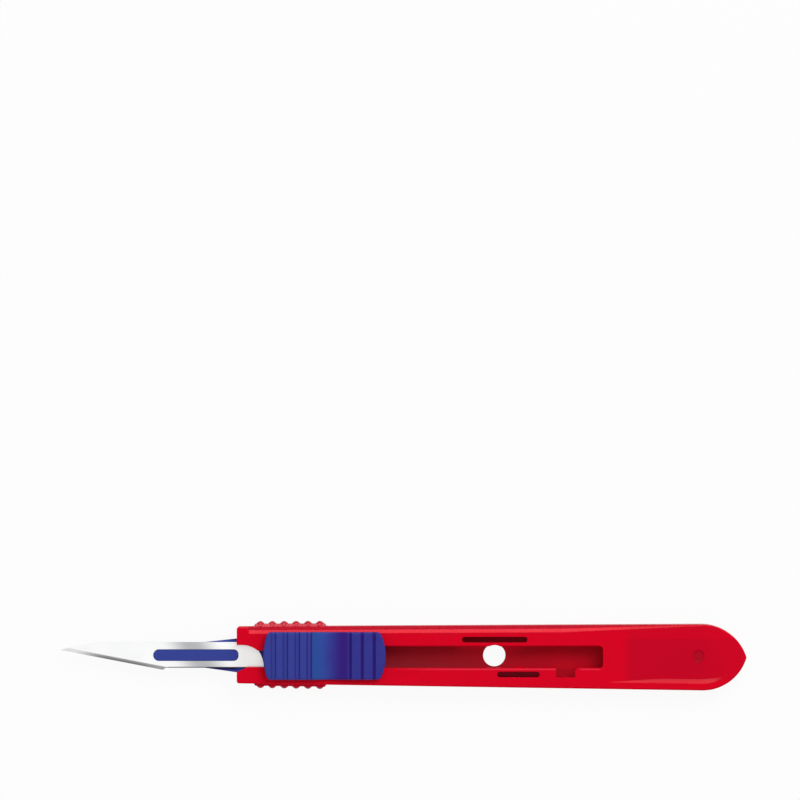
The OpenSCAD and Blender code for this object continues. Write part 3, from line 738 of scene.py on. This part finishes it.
@dataclass
class ThumbPad:
    """The slider's ribbed pad, a saddle with grooves at both ends."""

    front: float = 5.4
    centre: float = 0.29
    base: float = 6.15
    length: float = 24.4
    half: float = 4.75
    front_height: float = 2.3
    rear_height: float = 1.4
    front_radius: float = 13.8
    rear_radius: float = 10.0
    corner: float = 1.0
    fillet: float = 0.42
    foot: float = 0.08
    crown: float = 0.1
    dish: float = 13.3
    dish_length: float = 7.0
    dish_radius: float = 8.0
    groove_depth: float = 0.3
    groove_edge: float = 0.07
    wall_shade_width: float = 0.13
    front_grooves: tuple[float, ...] = (1.98, 4.36, 6.74, 9.12)
    rear_grooves: tuple[float, ...] = (17.3, 19.68, 22.06)
    front_groove_width: float = 0.85
    rear_groove_width: float = 0.5
    columns: int = 420
    rows: int = 36
    settle: float = 3.0

    def plain(self, x: np.ndarray) -> np.ndarray:
        """Height of the sloping top, a straight line from end to end."""
        return self.front_height + (self.rear_height - self.front_height) * x / self.length

    def top(self, x: np.ndarray, y: np.ndarray) -> np.ndarray:
        """Height of the top over the pad's base.

        The lower of the slope and the dish's arc, blended over a tenth of a
        millimetre, less the crown's parabola and the grooves, each of which is
        the difference of two tanh steps.

        Args:
            x: distances behind the pad's front end.
            y: distances from its middle.

        Returns:
            The heights.
        """
        plain = self.plain(x)
        rise = self.plain(np.float64(self.dish)) + math.sqrt(self.dish_radius ** 2 - self.dish_length ** 2 / 4)
        offset = np.clip(x - self.dish, -self.dish_radius * 0.98, self.dish_radius * 0.98)
        arc = rise - np.sqrt(self.dish_radius ** 2 - offset ** 2)
        blend = 0.12
        gap = (plain - arc) / blend
        height = plain - blend * np.logaddexp(0.0, gap)
        return height - self.groove_depth * self.hollow(x) - self.crown * (y / self.half) ** 2

    def shadow(self, x: np.ndarray) -> np.ndarray:
        """How much painted shade in violet a place takes: the front grooves' walls, as squares of sech, and the rear
        grooves.
        """
        walls = 0 * x
        for place in self.front_grooves:
            for wall in (place - self.front_groove_width / 2, place + self.front_groove_width / 2):
                walls = walls + 1 - np.tanh((x - wall) / self.wall_shade_width) ** 2
        return walls * np.interp(x, (1.0, 9.0), (0.4, 0.8)) + np.where(x > self.dish, self.hollow(x), 0.0)

    def hollow(self, x: np.ndarray) -> np.ndarray:
        """Share of a groove at a place, 1 in its middle, from pairs of tanh steps."""
        share = 0 * x
        for places, width in ((self.front_grooves, self.front_groove_width), (self.rear_grooves, self.rear_groove_width)):
            for place in places:
                near, far = (x - place + width / 2) / self.groove_edge, (x - place - width / 2) / self.groove_edge
                share = share + (np.tanh(near) - np.tanh(far)) / 2
        return share

    def lean(self, x: np.ndarray) -> np.ndarray:
        """Slope down the dish, from -1 at its front to 1 at its rear: the offset over half its length."""
        offset = (x - self.dish) / (self.dish_length / 2)
        return np.where(np.abs(offset) <= 1, offset, 0.0)

    def sag(self, y: np.ndarray, radius: float, inset: float) -> np.ndarray:
        """How far a bulged end falls back from its middle, drawn in by an inset.

        Inside the corner's touching point the end is an arc of the end radius,
        and outside it an arc of the corner radius.

        Args:
            y: distances from the middle.
            radius: radius of the bulge.
            inset: how far the outline is drawn in.

        Returns:
            Distances from the end's tip.
        """
        bulge, corner, half = radius - inset, self.corner - inset, self.half - inset
        angle = math.asin((half - corner) / (bulge - corner))
        arc = bulge - np.sqrt(bulge ** 2 - np.minimum(np.abs(y), half) ** 2)
        round_y = np.clip(np.abs(y) - (half - corner), 0, corner)
        round_x = bulge - (bulge - corner) * math.cos(angle) - np.sqrt(corner ** 2 - round_y ** 2)
        return inset + np.where(np.abs(y) <= bulge * math.sin(angle), arc, round_x)

    def plan(self, inset: float) -> tuple[np.ndarray, np.ndarray]:
        """Plan grid of the pad, drawn in by an inset.

        Columns lie straight across except near the ends, where they ease into
        the bulge; rows crowd towards the sides as a sine does.

        Args:
            inset: how far the outline is drawn in.

        Returns:
            Grids of x and y.
        """
        along = np.linspace(0, self.length, self.columns)[:, None]
        y = (self.half - inset) * np.sin(np.linspace(-np.pi / 2, np.pi / 2, self.rows))[None, :]
        front = self.sag(y, self.front_radius, inset) * np.clip(1 - along / self.settle, 0, None)
        rear = self.sag(y, self.rear_radius, inset) * np.clip(1 - (self.length - along) / self.settle, 0, None)
        return along + front - rear, y + 0 * along

    def build(self, material: bpy.types.Material) -> bpy.types.Object:
        """Makes the pad: a top grid, a quarter-round fillet, its wall and an underside.

        Args:
            material: the slider's plastic.

        Returns:
            The piece.
        """
        grid = np.arange(self.columns * self.rows).reshape(self.columns, self.rows)
        border = np.concatenate([grid[:-1, 0], grid[-1, :-1], grid[:0:-1, -1], grid[0, :0:-1]])
        x, y = self.plan(self.fillet)
        points = [np.stack([x, y, self.top(x, y)], axis=-1).reshape(-1, 3)]
        faces = [grid_faces(self.columns, self.rows)]
        above = border
        count = x.size
        turns = np.linspace(np.pi / 2, 0, 7)[1:]
        levels = [(self.fillet * (1 - math.cos(t)), self.fillet * (1 - math.sin(t))) for t in turns]
        for inset, drop in levels:
            ring_x, ring_y = (part.ravel()[border] for part in self.plan(inset))
            points.append(np.stack([ring_x, ring_y, self.top(ring_x, ring_y) - drop], axis=-1))
            below = count + np.arange(border.size)
            faces.append(band_faces(below, above))
            above, count = below, count + border.size
        ring_x, ring_y = (part.ravel()[border] for part in self.plan(0.0))
        points.append(np.stack([ring_x, ring_y, 0 * ring_x + self.foot], axis=-1))
        below = count + np.arange(border.size)
        faces.append(band_faces(below, above))
        above, count = below, count + border.size
        x, y = self.plan(self.foot)
        points.append(np.stack([x, y, 0 * x], axis=-1).reshape(-1, 3))
        faces.append(grid_faces(self.columns, self.rows, count, turned=True))
        faces.append(band_faces(count + border, above))
        spots = np.concatenate(points)
        metres = LAYOUT.metres(self.front + spots[:, 0], self.centre + spots[:, 1], self.base + spots[:, 2])
        piece = mesh_piece("slider_thumb_pad", metres, np.concatenate(faces))
        # hollow carries the painted groove shade, and lean the dish's slope that the painted light and shade follow.
        for name, values in (("hollow", self.shadow(spots[:, 0])), ("lean", self.lean(spots[:, 0]))):
            piece.data.attributes.new(name, "FLOAT", "POINT").data.foreach_set("value", values)
        piece.data.materials.append(material)
        return piece


@dataclass
class Slider:
    """The blue moulding: the carrier from the frame, under its thumb pad."""

    edge: float = 0.12
    cut: float = 6.14
    pad: ThumbPad = field(default_factory=ThumbPad)
    finish: MouldedPlastic = field(default_factory=lambda: SliderPlastic(
        "blue moulded plastic", srgb(50, 67, 151), srgb(50, 58, 142), roughness=0.34, specular=0.06,
        grain_depth=0.016))

    def carrier(self) -> bpy.types.Object:
        """The tongue, boss, deck, stem and arm, cut off under the pad.

        Returns:
            The linked piece.
        """
        piece = merged_copy("slider", "slider_carrier")
        shape = bmesh.new()
        shape.from_mesh(piece.data)
        parts = shape.verts[:] + shape.edges[:] + shape.faces[:]
        cut = bmesh.ops.bisect_plane(
            shape, geom=parts, plane_co=(0, 0, self.cut * MM), plane_no=(0, 0, 1), clear_outer=True)
        edge_shadow = [part for part in cut["geom_cut"] if isinstance(part, bmesh.types.BMEdge)]
        bmesh.ops.holes_fill(shape, edges=edge_shadow, sides=0)
        bmesh.ops.recalc_face_normals(shape, faces=shape.faces)
        shape.to_mesh(piece.data)
        shape.free()
        soften(piece, self.edge, 30.0)
        return piece

    def build(self) -> list[bpy.types.Object]:
        """Makes and dresses both pieces.

        Returns:
            The pieces.
        """
        material = self.finish.make()
        carrier = self.carrier()
        carrier.data.materials.clear()
        carrier.data.materials.append(material)
        pieces = [carrier, self.pad.build(material)]
        for piece in pieces:
            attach(piece, Body.SLIDER.value)
            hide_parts("slider")
        return pieces


@dataclass
class Blade:
    """The steel blade, which keeps the frame's own mesh."""

    finish: GroundSteel = field(default_factory=GroundSteel)

    def build(self) -> list[bpy.types.Object]:
        """Dresses the blade.

        Returns:
            The node.
        """
        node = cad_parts["blade"]
        material = self.finish.make()
        for entry in node.material_slots:
            entry.material = material
        return [node]


@dataclass
class Studio:
    """Pale floor, soft lamps, world and the camera."""

    floor_size: float = 3.0
    floor_gap: float = 2e-5
    fill: float = 0.62
    key_power: float = 2.95
    key_place: tuple[float, float, float] = (0.24, 0.38, 0.62)
    key_size: tuple[float, float] = (0.42, 0.42)
    edge_power: float = 2.5
    edge_place: tuple[float, float, float] = (0.0, 0.60, 0.27)
    edge_size: tuple[float, float] = (0.30, 0.10)
    floor_tone: tuple[float, float, float, float] = (0.72, 0.72, 0.72, 1.0)
    floor_share: float = 0.93
    lens: float = 250.0
    sensor: float = 36.0
    width: float = 0.15985
    view_x: float = -0.00065
    view_y: float = 0.05117
    view_z: float = 0.006

    def floor(self) -> bpy.types.Object:
        """A pale floor that shows near white and keeps a soft shadow.

        Returns:
            The floor.
        """
        half = self.floor_size / 2
        low = -self.floor_gap
        corners = np.array([[-half, -half, low], [half, -half, low], [half, half, low], [-half, half, low]])
        floor = mesh_piece("floor", corners, np.array([[0, 1, 2, 3]]))
        material = bpy.data.materials.new("pale floor")
        tree = Tree(material)
        diffuse = tree.node("ShaderNodeBsdfDiffuse", {}, {"Color": self.floor_tone})
        white = tree.node("ShaderNodeEmission", {}, {"Color": (1.0, 1.0, 1.0, 1.0), "Strength": 1.0})
        seen = tree.node("ShaderNodeLightPath", {}, {}, Ray.CAMERA.value) * self.floor_share
        surface = tree.node("ShaderNodeMixShader", {}, {0: seen, 1: diffuse, 2: white})
        tree.show("ShaderNodeOutputMaterial", surface)
        floor.data.materials.append(material)
        return floor

    def world(self) -> None:
        """Sky that is white to the camera, and fades on its near side in reflections."""
        world = bpy.data.worlds.new("studio")
        bpy.context.scene.world = world
        tree = Tree(world)
        direction = tree.node("ShaderNodeTexCoord", {}, {}, "Generated")
        across = tree.node("ShaderNodeSeparateXYZ", {}, {0: direction}, 1)
        mirrored = across.ramp(-0.55, -0.08, 0.22, 1.0)
        camera = tree.node("ShaderNodeLightPath", {}, {}, Ray.CAMERA.value)
        glossy = tree.node("ShaderNodeLightPath", {}, {}, Ray.GLOSSY.value)
        through = tree.node("ShaderNodeLightPath", {}, {}, Ray.TRANSMISSION.value)
        clear = camera + through
        strength = clear + (1 - clear) * (glossy * mirrored + (1 - glossy) * self.fill)
        sky = tree.node("ShaderNodeBackground", {}, {"Color": (1.0, 1.0, 1.0, 1.0), "Strength": strength})
        tree.show("ShaderNodeOutputWorld", sky)

    def lamp(self, name: str, place: tuple[float, float, float], size: tuple[float, float],
             power: float) -> bpy.types.Object:
        """Adds a rectangular lamp that faces the part.

        Args:
            name: name of the lamp.
            place: its place in metres.
            size: its width and height in metres.
            power: its power in watts.

        Returns:
            The lamp.
        """
        light = bpy.data.lights.new(name, "AREA")
        light.shape = "RECTANGLE"
        light.size, light.size_y = size
        light.energy = power
        lamp = bpy.data.objects.new(name, light)
        lamp.location = place
        lamp.rotation_euler = lamp.location.to_track_quat("Z", "Y").to_euler()
        bpy.context.scene.collection.objects.link(lamp)
        return lamp

    def camera(self) -> None:
        """Camera straight above, framed as the photograph."""
        data = bpy.data.cameras.new("camera")
        data.lens = self.lens
        data.sensor_width = self.sensor
        camera = bpy.data.objects.new("camera", data)
        distance = self.width * self.lens / self.sensor
        camera.location = (self.view_x, self.view_y, self.view_z + distance)
        data.clip_end = 20.0
        bpy.context.scene.collection.objects.link(camera)
        bpy.context.scene.camera = camera

    def build(self) -> None:
        """Sets up the whole studio."""
        self.floor()
        self.world()
        self.lamp("key", self.key_place, self.key_size, self.key_power)
        self.lamp("edge", self.edge_place, self.edge_size, self.edge_power).visible_diffuse = False
        self.camera()
        bpy.context.scene.view_settings.view_transform = "Standard"


def main() -> None:
    """Builds the pieces and the studio."""
    logging.basicConfig(level=logging.INFO, format="%(message)s")
    for maker in (Handle(), Slider(), Blade()):
        for piece in maker.build():
            LOG.info("%s: %d faces", piece.name, len(piece.data.polygons))
    Studio().build()


if __name__ == "__main__":
    main()
